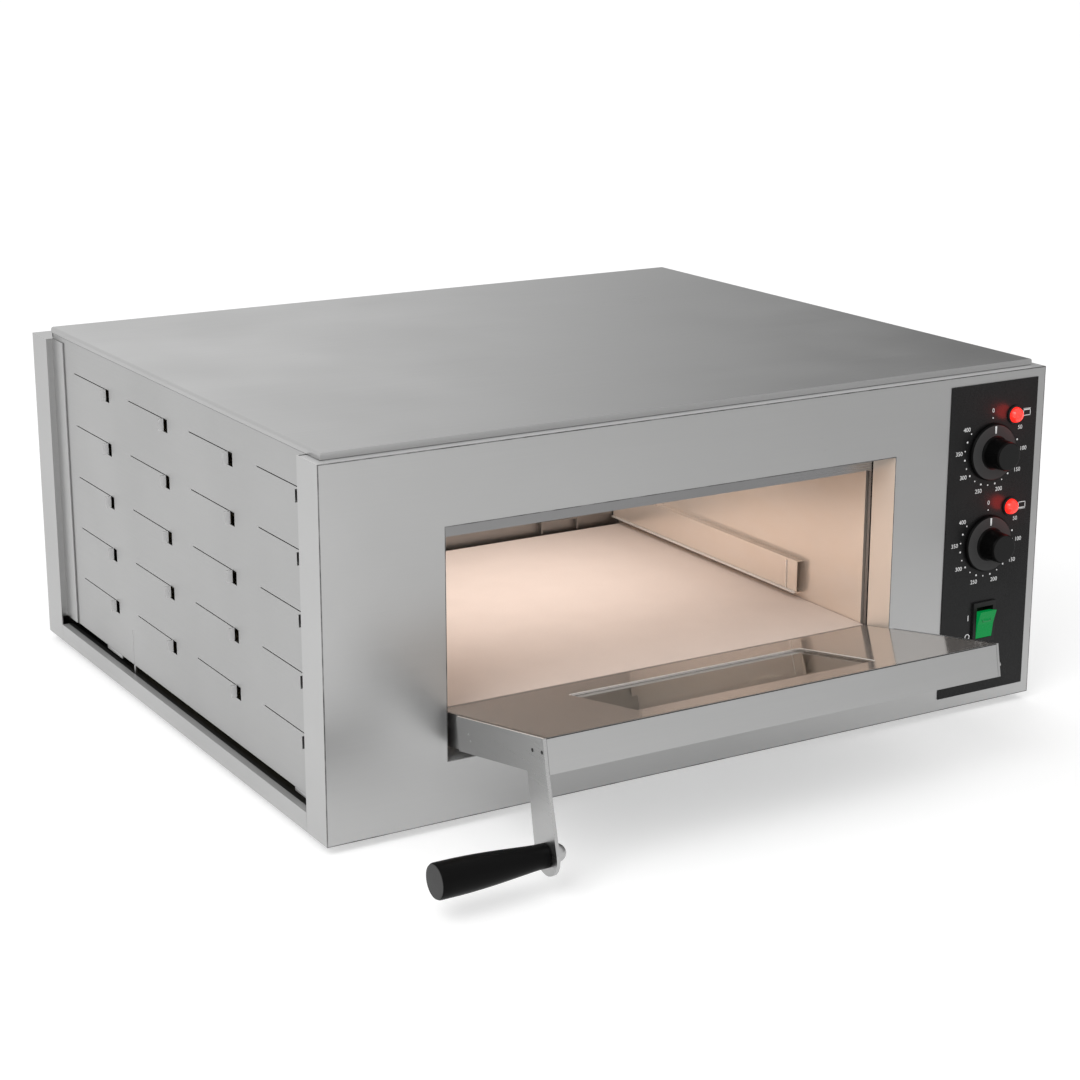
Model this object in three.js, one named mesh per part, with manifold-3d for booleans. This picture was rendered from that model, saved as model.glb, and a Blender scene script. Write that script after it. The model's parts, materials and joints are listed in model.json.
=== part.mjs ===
// Countertop electric deck oven for pizza: one baking chamber with a stone floor, a drop-down
// glazed door and a control bay on the right. Units are millimetres, +Z is up, -Y is the front.
// The pieces are laid out in the oven's own frame: X = 0 on the middle of the casing, Y = 0 on the
// front of the fascia and Z = 0 on the underside of the base tray.

import * as THREE from 'three';
import { mergeVertices } from 'three/addons/utils/BufferGeometryUtils.js';
import Module from 'manifold-3d';

const wasm = await Module();
wasm.setup();

// ---------------------------------------------------------------- driving dimensions
const WIDTH = 975;
const FASCIA_HEIGHT = 417;
const DEPTH = 868;
const COVER_RISE = 8;
const SHEET = 1.5;
const GAP = 0.3;

const HALF = WIDTH / 2;
const PANEL_INSET = 10;
const PANEL_X = HALF - PANEL_INSET;
const FRONT_RETURN = 50;
const TOP_RETURN = 45;
const COVER_TOP = FASCIA_HEIGHT + COVER_RISE;
const COVER_FRONT = 14.5;
const COVER_REAR = 822;
const REAR_LIP_FRONT = 815;
const REAR_LIP_TOP = 411;
const LAP_FRONT = 777;
const RAIL_TOP = 22.5;
const RAIL_LEDGE = 14.5;
const PANEL_BOTTOM = 34;

const FOOT = { height: 10, radius: 17, topRadius: 20, x: 410, front: 75, rear: 790 };

const OPENING = { left: -341.5, right: 260, bottom: 69.5, top: 331 };
const REVEAL_DEPTH = 41;

const FRAME_FRONT = 42.5;
const FRAME_LIP_BACK = 47;
const LINTEL_BOTTOM = 307;

const CHAMBER = { left: -341, right: 259.2, front: 53, rear: 600, floor: 70, ceiling: 325 };
const STONE = { front: 46, rear: 588, top: 113, thickness: 15 };
const STONE_SIDE_GAP = 1.5;

const DOOR_AXIS = { y: 24.1, z: 101.1 };
const DOOR_OPEN_DEG = 79.7;
const DOOR = { left: -335.7, right: 253, top: 227.8, inner: 16.9, outer: -21.1 };
const WINDOW = { left: -202, right: 110, bottom: 50.8, top: 188.3, rim: 2, pane: 4 };
const PIN_RADIUS = 5;
const LEVER = { thickness: 4, bottom: 44, armBottom: 190.1, gripY: -105.5, gripZ: 212.1, lobe: 22 };
const GRIP = { length: 127, smallRadius: 13, bigRadius: 19 };
const BOLT = { washer: 11.5, head: 10, headLength: 17, shank: 4 };

const KNOB_X = 406.5;
const KNOB_Z = [320.5, 206];
const LAMP_X = 440.5;
const LAMP_Z = KNOB_Z.map((z) => z + 42);
const OVERLAY = { left: 341, right: 475.5, bottom: 15, top: 405.7, thickness: 0.8 };
const SWITCH = { x: 407, z: 105.5, width: 35, height: 52, rockerWidth: 25, rockerHeight: 36.4,
  pivotY: 1, tiltDeg: 12 };

const LOUVRE = { rows: 5, columns: 4, topZ: 378, rowPitch: 68.25, rearY: 744, columnPitch: 189.5,
  length: 125, height: 16, hole: 15, rise: 5.5, skin: 1.2, slit: 1.2 };

const ELEMENT = { radius: 4, upperZ: 315, lowerZ: 84, terminalX: 288, leftX: -295, rightX: 214,
  legPitch: 66, frontY: 105, rearY: 365 };

const SENSOR = { y: 530, z: [290, 84] };

const BAY_SHIELD_X = 306;
const VENT = { count: 8, firstX: 90, pitch: 34, width: 6, bottom: 250, top: 330 };
const GLAND = { x: 400, z: 70, nut: 15, hole: 10.5 };

// ---------------------------------------------------------------- materials
function material(name, colour, roughness, metalness) {
  const made = new THREE.MeshStandardMaterial({ color: colour, roughness, metalness });
  made.name = name;
  return made;
}

const steel = () => material('brushed_steel', 0xb0b1b0, 0.35, 1);
const mirrorSteel = () => material('polished_steel', 0xc9c7c3, 0.12, 1);
const chamberSteel = () => material('chamber_steel', 0xb3a99f, 0.25, 1);
const darkPlastic = () => material('black_plastic', 0x242424, 0.45, 0);
const fibre = () => material('rock_wool', 0x9c8f6a, 1, 0);
const rubber = () => material('rubber', 0x1c1c1c, 0.9, 0);
const stoneware = () => material('refractory', 0xcdb9aa, 0.9, 0);
const glassy = () => material('glass', 0xdfe8e6, 0.05, 0);
const brassy = () => material('brass', 0xb99a52, 0.35, 1);
const ceramicWhite = () => material('ceramic', 0xe8e4da, 0.6, 0);

// ---------------------------------------------------------------- solids
function signedVolume(geometry) {
  const p = geometry.attributes.position;
  const index = geometry.index;
  const a = new THREE.Vector3();
  const b = new THREE.Vector3();
  const c = new THREE.Vector3();
  let volume = 0;
  for (let i = 0; i < index.count; i += 3) {
    a.fromBufferAttribute(p, index.getX(i));
    b.fromBufferAttribute(p, index.getX(i + 1));
    c.fromBufferAttribute(p, index.getX(i + 2));
    volume += a.dot(b.cross(c)) / 6;
  }
  return volume;
}

// Welds the geometry's corners and turns its faces outwards.
function closed(geometry) {
  const bare = geometry.clone();
  bare.deleteAttribute('normal');
  bare.deleteAttribute('uv');
  const welded = mergeVertices(bare, 1e-4);
  if (signedVolume(welded) < 0) {
    const index = welded.index.array;
    for (let i = 0; i < index.length; i += 3) {
      [index[i], index[i + 1]] = [index[i + 1], index[i]];
    }
  }
  return welded;
}

function solidOf(geometry) {
  const welded = closed(geometry);
  const vertProperties = new Float32Array(welded.attributes.position.array);
  const triVerts = new Uint32Array(welded.index.array);
  return new wasm.Manifold(new wasm.Mesh({ numProp: 3, vertProperties, triVerts }));
}

function geometryOf(solid) {
  const mesh = solid.getMesh();
  const geometry = new THREE.BufferGeometry();
  geometry.setAttribute('position', new THREE.BufferAttribute(mesh.vertProperties, 3));
  geometry.setIndex(new THREE.BufferAttribute(mesh.triVerts, 1));
  return geometry;
}

function join(...geometries) {
  return geometryOf(geometries.map(solidOf).reduce((sum, next) => sum.add(next)));
}

function cut(geometry, ...tools) {
  return geometryOf(tools.map(solidOf).reduce((rest, tool) => rest.subtract(tool), solidOf(geometry)));
}

function mirroredX(geometry) {
  return closed(geometry.clone().applyMatrix4(new THREE.Matrix4().makeScale(-1, 1, 1)));
}

// A block between two corners.
function block(x0, x1, y0, y1, z0, z1) {
  const geometry = new THREE.BoxGeometry(x1 - x0, y1 - y0, z1 - z0);
  return geometry.translate((x0 + x1) / 2, (y0 + y1) / 2, (z0 + z1) / 2);
}

function shapeOf(points) {
  return new THREE.Shape(points.map(([u, v]) => new THREE.Vector2(u, v)));
}

function extruded(shape, depth, curveSegments = 6) {
  return new THREE.ExtrudeGeometry(shape, { depth, bevelEnabled: false, curveSegments });
}

const alongX = new THREE.Matrix4().makeBasis(
  new THREE.Vector3(0, 1, 0), new THREE.Vector3(0, 0, 1), new THREE.Vector3(1, 0, 0));
const alongY = new THREE.Matrix4().makeBasis(
  new THREE.Vector3(1, 0, 0), new THREE.Vector3(0, 0, 1), new THREE.Vector3(0, -1, 0));

// A prism whose section is drawn in (y, z) and runs from x0 to x1.
function prismX(section, x0, x1) {
  const shape = section instanceof THREE.Shape ? section : shapeOf(section);
  return extruded(shape, x1 - x0).applyMatrix4(alongX).translate(x0, 0, 0);
}

// A prism whose section is drawn in (x, z) and runs from y0 to y1.
function prismY(section, y0, y1) {
  const shape = section instanceof THREE.Shape ? section : shapeOf(section);
  return extruded(shape, y1 - y0).applyMatrix4(alongY).translate(0, y1, 0);
}

// A prism whose section is drawn in (x, y) and runs from z0 to z1.
function prismZ(section, z0, z1) {
  const shape = section instanceof THREE.Shape ? section : shapeOf(section);
  return extruded(shape, z1 - z0).translate(0, 0, z0);
}

// Rods along each axis.
function rodX(radius, x0, x1, y, z, sides = 20) {
  const geometry = new THREE.CylinderGeometry(radius, radius, x1 - x0, sides);
  return geometry.rotateZ(Math.PI / 2).translate((x0 + x1) / 2, y, z);
}

function rodY(radius, y0, y1, x, z, sides = 20) {
  const geometry = new THREE.CylinderGeometry(radius, radius, y1 - y0, sides);
  return geometry.translate(x, (y0 + y1) / 2, z);
}

function rodZ(radius, z0, z1, x, y, sides = 20) {
  const geometry = new THREE.CylinderGeometry(radius, radius, z1 - z0, sides);
  return geometry.rotateX(Math.PI / 2).translate(x, y, (z0 + z1) / 2);
}

// A turned piece about the Y axis, from (radius, y) pairs that start and end on the axis.
function turnedY(profile, x, z, sides = 32) {
  const points = profile.map(([radius, y]) => new THREE.Vector2(radius, y));
  return new THREE.LatheGeometry(points, sides).translate(x, 0, z);
}

// A route through given points, straight between them, with one step for each stretch.
class Route extends THREE.Curve {
  constructor(points) {
    super();
    this.points = points;
  }

  getPoint(t) {
    const last = this.points.length - 1;
    const i = Math.min(Math.floor(t * last), last - 1);
    return this.points[i].clone().lerp(this.points[i + 1], t * last - i);
  }

  getUtoTmapping(u) {
    return u;
  }
}

// A round bar along a route.
function bar(points, radius, sides) {
  const section = new THREE.Shape().absarc(0, 0, radius, 0, 2 * Math.PI);
  return new THREE.ExtrudeGeometry(section, {
    steps: points.length - 1, extrudePath: new Route(points), curveSegments: sides / 2 });
}

// ---------------------------------------------------------------- the assembly
const oven = new THREE.Group();
const casing = new THREE.Group();
const door = new THREE.Group();
oven.add(casing);
casing.add(door);

function piece(name, geometry, look, group = casing) {
  const finished = closed(geometry);
  finished.computeVertexNormals();
  const mesh = new THREE.Mesh(finished, look);
  mesh.name = name;
  group.add(mesh);
}

// ---------------------------------------------------------------- casing
function baseTray() {
  const railFront = FRONT_RETURN + GAP;
  const railRear = REAR_LIP_FRONT - GAP;
  const rail = join(
    block(HALF - SHEET, HALF, railFront, railRear, 0, RAIL_TOP),
    block(HALF - RAIL_LEDGE, HALF, railFront, railRear, RAIL_TOP - SHEET, RAIL_TOP));
  const floor = block(-HALF + 4, HALF - 4, SHEET + GAP, DEPTH - SHEET - GAP, 0, SHEET);
  const wings = block(-HALF, HALF, railFront, railRear, 0, SHEET);
  return join(floor, wings, rail, mirroredX(rail));
}

function feet() {
  const places = [['front_left', -1, FOOT.front], ['front_right', 1, FOOT.front],
    ['rear_left', -1, FOOT.rear], ['rear_right', 1, FOOT.rear]];
  for (const [place, side, y] of places) {
    const pad = new THREE.CylinderGeometry(FOOT.topRadius, FOOT.radius, FOOT.height - GAP, 24);
    pad.rotateX(Math.PI / 2);
    pad.translate(side * FOOT.x, y, -(FOOT.height + GAP) / 2);
    piece(`foot_${place}`, pad, rubber());
  }
}

// The controls pass through the fascia and the overlay; clearance widens every hole.
function controlHoles(y0, y1, clearance) {
  const holes = [];
  for (const z of KNOB_Z) holes.push(rodY(6 + clearance, y0, y1, KNOB_X, z));
  for (const z of LAMP_Z) holes.push(rodY(6.5 + clearance, y0, y1, LAMP_X, z));
  const w = SWITCH.width / 2 - 3 + clearance;
  const h = SWITCH.height / 2 - 3 + clearance;
  holes.push(block(SWITCH.x - w, SWITCH.x + w, y0, y1, SWITCH.z - h, SWITCH.z + h));
  return holes;
}

function frontFascia() {
  const face = block(-HALF, HALF, 0, SHEET, 0, FASCIA_HEIGHT);
  const side = join(
    block(HALF - SHEET, HALF, 0, FRONT_RETURN, 0, FASCIA_HEIGHT),
    block(PANEL_X + GAP, HALF, FRONT_RETURN - SHEET, FRONT_RETURN, SHEET + GAP, FASCIA_HEIGHT));
  const top = block(-HALF, HALF, 0, TOP_RETURN, FASCIA_HEIGHT - SHEET, FASCIA_HEIGHT);
  const revealOuter = block(OPENING.left - SHEET, OPENING.right + SHEET, 0, REVEAL_DEPTH,
    OPENING.bottom - SHEET, OPENING.top + SHEET);
  const hole = block(OPENING.left, OPENING.right, -1, REVEAL_DEPTH + 1, OPENING.bottom, OPENING.top);
  const pinHoles = rodX(PIN_RADIUS + 1, OPENING.left - 5, OPENING.right + 5, DOOR_AXIS.y, DOOR_AXIS.z);
  return cut(join(face, side, mirroredX(side), top, revealOuter), hole, pinHoles,
    ...controlHoles(-1, SHEET + 1, 0));
}

function rearPanel() {
  const back = block(-HALF, HALF, DEPTH - SHEET, DEPTH, 0, REAR_LIP_TOP);
  const top = block(-HALF, HALF, REAR_LIP_FRONT, DEPTH, REAR_LIP_TOP - SHEET, REAR_LIP_TOP);
  const lapX = PANEL_X + GAP;
  const side = join(
    block(HALF - SHEET, HALF, REAR_LIP_FRONT, DEPTH, 0, REAR_LIP_TOP),
    block(lapX, HALF, REAR_LIP_FRONT, REAR_LIP_FRONT + SHEET, PANEL_BOTTOM, REAR_LIP_TOP),
    block(lapX, lapX + SHEET, LAP_FRONT, REAR_LIP_FRONT + SHEET, PANEL_BOTTOM, REAR_LIP_TOP));
  const gland = rodY(GLAND.hole, DEPTH - 5, DEPTH + 5, GLAND.x, GLAND.z);
  const vents = [];
  for (let column = 0; column < VENT.count; column += 1) {
    const x = VENT.firstX + column * VENT.pitch;
    const vent = block(x, x + VENT.width, DEPTH - 5, DEPTH + 5, VENT.bottom, VENT.top);
    vents.push(vent, mirroredX(vent));
  }
  return cut(join(back, top, side, mirroredX(side)), gland, ...vents);
}

// A shallow tray turned upside down, with rounded long edges.
function topCover() {
  const bend = 3.5;
  const skirt = FASCIA_HEIGHT + 2 * GAP;
  const section = new THREE.Shape();
  section.moveTo(-PANEL_X, skirt);
  section.lineTo(-PANEL_X + SHEET, skirt);
  section.lineTo(-PANEL_X + SHEET, COVER_TOP - bend);
  section.absarc(-PANEL_X + bend, COVER_TOP - bend, bend - SHEET, Math.PI, Math.PI / 2, true);
  section.lineTo(PANEL_X - bend, COVER_TOP - SHEET);
  section.absarc(PANEL_X - bend, COVER_TOP - bend, bend - SHEET, Math.PI / 2, 0, true);
  section.lineTo(PANEL_X - SHEET, skirt);
  section.lineTo(PANEL_X, skirt);
  section.lineTo(PANEL_X, COVER_TOP - bend);
  section.absarc(PANEL_X - bend, COVER_TOP - bend, bend, 0, Math.PI / 2, false);
  section.lineTo(-PANEL_X + bend, COVER_TOP);
  section.absarc(-PANEL_X + bend, COVER_TOP - bend, bend, Math.PI / 2, Math.PI, false);
  const sheet = prismY(section, COVER_FRONT, COVER_REAR);
  const inset = 1;
  const front = block(-PANEL_X + inset, PANEL_X - inset, COVER_FRONT, COVER_FRONT + SHEET,
    skirt, COVER_TOP - SHEET / 2);
  const rear = block(-PANEL_X + inset, PANEL_X - inset, COVER_REAR - SHEET, COVER_REAR,
    REAR_LIP_TOP + 2 * GAP, COVER_TOP - SHEET / 2);
  return join(sheet, front, rear);
}

// One louvre of the right-hand side panel: a narrow slit along its top, and at the front end a
// square hole whose tab is bent outwards.
function louvre(topZ, rearY) {
  const inside = PANEL_X - SHEET;
  const frontY = rearY - LOUVRE.length;
  const tabY = frontY + LOUVRE.hole;
  const slit = block(inside - 1, PANEL_X + 1, frontY, rearY, topZ - LOUVRE.slit, topZ);
  const hole = block(inside - 1, PANEL_X + 1, frontY, tabY, topZ - LOUVRE.height, topZ);
  const tab = block(inside, PANEL_X + LOUVRE.rise, tabY, tabY + LOUVRE.skin,
    topZ - LOUVRE.height + GAP, topZ - LOUVRE.slit - GAP);
  return { slit, hole, tab };
}

function rightSidePanel() {
  const front = TOP_RETURN + 1;
  const rear = REAR_LIP_FRONT - GAP;
  const plate = block(PANEL_X - SHEET, PANEL_X, front, rear, PANEL_BOTTOM, FASCIA_HEIGHT + GAP);
  const stiffener = block(PANEL_X - 12, PANEL_X, front, rear, PANEL_BOTTOM, PANEL_BOTTOM + SHEET);
  const foldSlit = block(PANEL_X - 1, PANEL_X + 1, 575.5, 577, PANEL_BOTTOM - 1, 80);
  const tabs = [];
  const openings = [];
  for (let row = 0; row < LOUVRE.rows; row += 1) {
    for (let column = 0; column < LOUVRE.columns; column += 1) {
      const topZ = LOUVRE.topZ - row * LOUVRE.rowPitch;
      const { slit, hole, tab } = louvre(topZ, LOUVRE.rearY - column * LOUVRE.columnPitch);
      tabs.push(tab);
      openings.push(slit, hole);
    }
  }
  return join(cut(join(plate, stiffener), ...openings, foldSlit), ...tabs);
}

// ---------------------------------------------------------------- baking chamber
// The plate that the shut door faces, with its opening's edges folded back.
function chamberFrontFrame() {
  const ring = block(OPENING.left - 16, OPENING.right + 16, FRAME_FRONT, FRAME_FRONT + SHEET, 50, 350);
  const lip = block(CHAMBER.left - SHEET, CHAMBER.right + SHEET, FRAME_FRONT, FRAME_LIP_BACK,
    OPENING.bottom - SHEET, LINTEL_BOTTOM + SHEET);
  const hole = block(CHAMBER.left, CHAMBER.right, FRAME_FRONT - 1, FRAME_LIP_BACK + 1,
    OPENING.bottom, LINTEL_BOTTOM);
  return cut(join(ring, lip), hole);
}

// The ends of the heating elements leave through the right-hand wall.
function elementEnds() {
  const ends = [];
  for (const z of [ELEMENT.upperZ, ELEMENT.lowerZ]) {
    for (const y of [ELEMENT.frontY, ELEMENT.rearY]) {
      ends.push([y, z], [y + 3 * ELEMENT.legPitch, z]);
    }
  }
  return ends;
}

function chamberRightWall() {
  const wall = block(CHAMBER.right, CHAMBER.right + SHEET, CHAMBER.front, CHAMBER.rear,
    CHAMBER.floor, CHAMBER.ceiling);
  const nose = block(CHAMBER.right, CHAMBER.right + 14, CHAMBER.front, CHAMBER.front + SHEET,
    CHAMBER.floor, CHAMBER.ceiling);
  const holes = elementEnds().map(([y, z]) => rodX(ELEMENT.radius + 1, CHAMBER.right - 2,
    CHAMBER.right + 4, y, z, 12));
  const sensorHoles = SENSOR.z.map((z) => rodX(3, CHAMBER.right - 2,
    CHAMBER.right + 4, SENSOR.y, z, 12));
  return cut(join(wall, nose), ...holes, ...sensorHoles);
}

function chamberLeftWall() {
  return join(
    block(CHAMBER.left - SHEET, CHAMBER.left, CHAMBER.front, CHAMBER.rear,
      CHAMBER.floor, CHAMBER.ceiling),
    block(CHAMBER.left - 14, CHAMBER.left, CHAMBER.front, CHAMBER.front + SHEET,
      CHAMBER.floor, CHAMBER.ceiling));
}

// The rear wall carries a pressed clip at the height of the stone.
function chamberRearWall() {
  const wall = block(CHAMBER.left - 14, CHAMBER.right + 14, CHAMBER.rear + GAP,
    CHAMBER.rear + GAP + SHEET, CHAMBER.floor, CHAMBER.ceiling);
  const clip = cut(block(127, 186, CHAMBER.rear - 9, CHAMBER.rear + 1, 114, 131),
    block(129, 184, CHAMBER.rear - 12, CHAMBER.rear - 1, 113, 129));
  return join(wall, clip);
}

function chamberCeiling() {
  const z = CHAMBER.ceiling + GAP;
  return join(
    block(CHAMBER.left - 14, CHAMBER.right + 14, CHAMBER.front, CHAMBER.rear + 2, z, z + SHEET),
    block(CHAMBER.left - 14, CHAMBER.right + 14, CHAMBER.front, CHAMBER.front + SHEET, z, z + 18));
}

function chamberFloorTray() {
  const left = CHAMBER.left + GAP;
  const right = CHAMBER.right - GAP;
  const front = CHAMBER.front - 1;
  const upstand = STONE.top - STONE.thickness - 2;
  return join(
    block(left, right, front, CHAMBER.rear, CHAMBER.floor, CHAMBER.floor + SHEET),
    block(left, right, front, front + SHEET, CHAMBER.floor, upstand));
}

function bakingStone() {
  return block(CHAMBER.left + STONE_SIDE_GAP, CHAMBER.right - STONE_SIDE_GAP, STONE.front,
    STONE.rear, STONE.top - STONE.thickness, STONE.top);
}

function stoneSupportRight() {
  const top = STONE.top - STONE.thickness - GAP;
  const outer = CHAMBER.right - GAP;
  const ledge = join(
    block(outer - 14, outer, 58, CHAMBER.rear - GAP, top - SHEET, top),
    block(outer - SHEET, outer, 58, CHAMBER.rear - GAP, CHAMBER.floor + SHEET + GAP, top));
  const holes = elementEnds().filter(([, z]) => z === ELEMENT.lowerZ).map(([y, z]) => rodX(
    ELEMENT.radius + 1, outer - 4, outer + 2, y, z, 12));
  return cut(ledge, ...holes, rodX(3, outer - 4, outer + 2, SENSOR.y, SENSOR.z[1], 12));
}

function stoneSupportLeft() {
  const top = STONE.top - STONE.thickness - GAP;
  const outer = CHAMBER.left + GAP;
  return join(
    block(outer, outer + 14, 58, CHAMBER.rear - GAP, top - SHEET, top),
    block(outer, outer + SHEET, 58, CHAMBER.rear - GAP, CHAMBER.floor + SHEET + GAP, top));
}

// A guard channel along the foot of the right-hand wall, just above the stone.
function wallGuard() {
  const wall = CHAMBER.right - GAP;
  const channel = cut(block(wall - 10, wall, 170, 598, 121, 163),
    block(wall - 9, wall + 1, 169, 599, 122, 162));
  const tab = block(wall - 10, wall - 9, 170, 209, 121, 163);
  return join(channel, tab, block(wall - 10, wall, 209, 210, 121, 163));
}

// A sheathed heating element: four legs across the chamber joined by three bends.
function heatingElement(frontY, z) {
  const bend = ELEMENT.legPitch / 2;
  const backY = frontY + 3 * ELEMENT.legPitch;
  const points = [new THREE.Vector3(ELEMENT.terminalX, frontY, z)];
  for (let turn = 0; turn < 3; turn += 1) {
    const side = turn % 2 === 0 ? -1 : 1;
    const x = side < 0 ? ELEMENT.leftX : ELEMENT.rightX;
    const y = frontY + (turn + 0.5) * ELEMENT.legPitch;
    for (let i = 0; i <= 6; i += 1) {
      const angle = (i / 6 - 0.5) * Math.PI;
      const along = x + side * bend * Math.cos(angle);
      points.push(new THREE.Vector3(along, y + bend * Math.sin(angle), z));
    }
  }
  points.push(new THREE.Vector3(ELEMENT.terminalX, backY, z));
  const studs = [frontY, backY].map((y) => rodX(2, ELEMENT.terminalX - 1,
    ELEMENT.terminalX + 12, y, z, 8));
  return join(bar(points, ELEMENT.radius, 8), ...studs);
}

// A strip with notches that holds the upper elements under the ceiling.
function elementHanger(x) {
  const low = ELEMENT.upperZ - ELEMENT.radius - 3;
  const strip = block(x, x + SHEET, 80, 590, low, CHAMBER.ceiling - GAP);
  const holes = [];
  for (const start of [ELEMENT.frontY, ELEMENT.rearY]) {
    for (let i = 0; i < 4; i += 1) {
      const y = start + i * ELEMENT.legPitch;
      holes.push(rodX(ELEMENT.radius + 0.6, x - 2, x + 4, y, ELEMENT.upperZ, 12));
    }
  }
  return cut(strip, ...holes);
}

// A thermostat's bulb inside the chamber with its capillary, led out to the control bay.
function sensor(z, thermostatZ) {
  const y = SENSOR.y;
  const bulb = rodX(3.2, 170, 248, y, z, 10);
  const middleZ = (z + thermostatZ) / 2;
  const guides = [[246, y, z], [272, y, z], [290, y - 25, z], [297, 420, z], [297, 250, middleZ],
    [298, 130, thermostatZ], [325, 85, thermostatZ], [355, 60, thermostatZ],
    [KNOB_X - 27, 40, thermostatZ], [KNOB_X - 21.5, 40, thermostatZ]];
  const curve = new THREE.CatmullRomCurve3(guides.map((point) => new THREE.Vector3(...point)));
  return join(bulb, bar(curve.getPoints(27), 1.2, 6));
}

// ---------------------------------------------------------------- controls
function controlOverlay() {
  const y1 = -GAP;
  const plate = block(OVERLAY.left, OVERLAY.right, y1 - OVERLAY.thickness, y1,
    OVERLAY.bottom, OVERLAY.top);
  return cut(plate, ...controlHoles(-3, 1, 0.2));
}

function knob(z) {
  const bore = rodY(3.3, -18, 0, KNOB_X, z, 16);
  const body = turnedY([[0, -34], [16.4, -34], [18, -32.5], [19, -9], [20, -7.6], [33.5, -7.2],
    [35, -5.6], [35.4, -2.4], [34.2, -1.8], [0, -1.8]], KNOB_X, z, 40);
  return cut(body, bore);
}

function spindle(z) {
  return rodY(3, -16, 12, KNOB_X, z, 16);
}

function thermostat(z) {
  const y = SHEET + 10;
  const box = block(KNOB_X - 21, KNOB_X + 21, y, y + 42, z - 17, z + 17);
  const boss = rodY(5, SHEET + GAP, y + 1, KNOB_X, z, 16);
  const bracket = block(KNOB_X - 26, KNOB_X + 26, y - 4, y - 2.5, z - 12, z + 12);
  const terminals = [];
  for (const side of [-10, 10]) {
    terminals.push(block(KNOB_X + side - 3, KNOB_X + side + 3, y + 41, y + 52, z - 0.5, z + 0.5));
  }
  return cut(join(box, boss, bracket, ...terminals), rodY(3.4, -1, 13, KNOB_X, z, 16));
}

// A bezel ring in front, a threaded body behind: the lens sits in the ring.
function lampHolder(z) {
  const body = turnedY([[0, -4], [10.9, -4], [11.5, -3.4], [11.5, -1.4], [6, -1.4], [6, 34], [0, 34]],
    LAMP_X, z, 24);
  return cut(body, rodY(4.6, -5, 4, LAMP_X, z, 24), rodY(10, -5, -2.6, LAMP_X, z, 24));
}

function lampLens(z) {
  return turnedY([[0, -12.5], [4.2, -11.8], [7.6, -9.6], [9.3, -6.4], [9.6, -2.9], [4.2, -2.9],
    [4.2, 3], [0, 3]], LAMP_X, z, 24);
}

function switchHousing() {
  const w = SWITCH.width / 2;
  const h = SWITCH.height / 2;
  const bezel = block(SWITCH.x - w, SWITCH.x + w, -4.4, -1.4, SWITCH.z - h, SWITCH.z + h);
  const body = block(SWITCH.x - w + 3.5, SWITCH.x + w - 3.5, -2, 30, SWITCH.z - h + 3.5,
    SWITCH.z + h - 3.5);
  const rw = SWITCH.rockerWidth / 2 + 0.4;
  const rh = SWITCH.rockerHeight / 2 + 2;
  const well = block(SWITCH.x - rw, SWITCH.x + rw, -6, 12, SWITCH.z - rh, SWITCH.z + rh);
  const blades = [];
  for (const side of [-8, 8]) {
    for (const rise of [-9, 9]) {
      blades.push(block(SWITCH.x + side - 0.5, SWITCH.x + side + 0.5, 29, 40,
        SWITCH.z + rise - 3, SWITCH.z + rise + 3));
    }
  }
  return join(cut(join(bezel, body), well), ...blades);
}

// Two flats that meet in front of the pivot, tilted so that the lower one is pressed in.
function switchRocker() {
  const h = SWITCH.rockerHeight / 2;
  const rocker = prismX([[-9.2, h], [-7.6, 0], [-9.2, -h], [4, -h + 6], [7, 0], [4, h - 6]],
    SWITCH.x - SWITCH.rockerWidth / 2, SWITCH.x + SWITCH.rockerWidth / 2);
  rocker.rotateX(THREE.MathUtils.degToRad(SWITCH.tiltDeg));
  return rocker.translate(0, SWITCH.pivotY, SWITCH.z);
}

// ---------------------------------------------------------------- bay and services
// The sheet between the hot side and the controls; the capillaries pass through its holes.
function heatShield() {
  const holes = KNOB_Z.map((z) => rodX(14, BAY_SHIELD_X - 1, BAY_SHIELD_X + 2, 110, z));
  return cut(block(BAY_SHIELD_X, BAY_SHIELD_X + 1, 55, 790, 8, 400), ...holes);
}

function terminalBlock() {
  const base = block(360, 440, 790, 812, SHEET + GAP, 20);
  const slots = [];
  for (let i = 0; i < 5; i += 1) {
    slots.push(rodZ(3.5, 12, 22, 368 + i * 16, 801, 12));
  }
  return cut(base, ...slots);
}

function cableGland() {
  const hex = new THREE.CylinderGeometry(GLAND.nut, GLAND.nut, 6, 6);
  hex.translate(GLAND.x, DEPTH + 3 + GAP, GLAND.z);
  const dome = rodY(12.5, DEPTH + 5, DEPTH + 20, GLAND.x, GLAND.z, 24);
  const thread = rodY(GLAND.hole - 0.5, DEPTH - 14, DEPTH + 2, GLAND.x, GLAND.z, 24);
  return cut(join(hex, dome, thread), rodY(6, DEPTH - 20, DEPTH + 30, GLAND.x, GLAND.z, 24));
}

// ---------------------------------------------------------------- door, drawn shut about its pins
// In the door's frame X runs along the pins, Y into the oven and Z up the shut door.
const DOOR_SECTION = [[DOOR.inner, DOOR.top], [DOOR.outer, DOOR.top], [DOOR.outer, -20],
  [-11.5, -27], [DOOR.inner, -10]];

function windowHole(margin, y0, y1) {
  return block(WINDOW.left - margin, WINDOW.right + margin, y0, y1,
    WINDOW.bottom - margin, WINDOW.top + margin);
}

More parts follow.
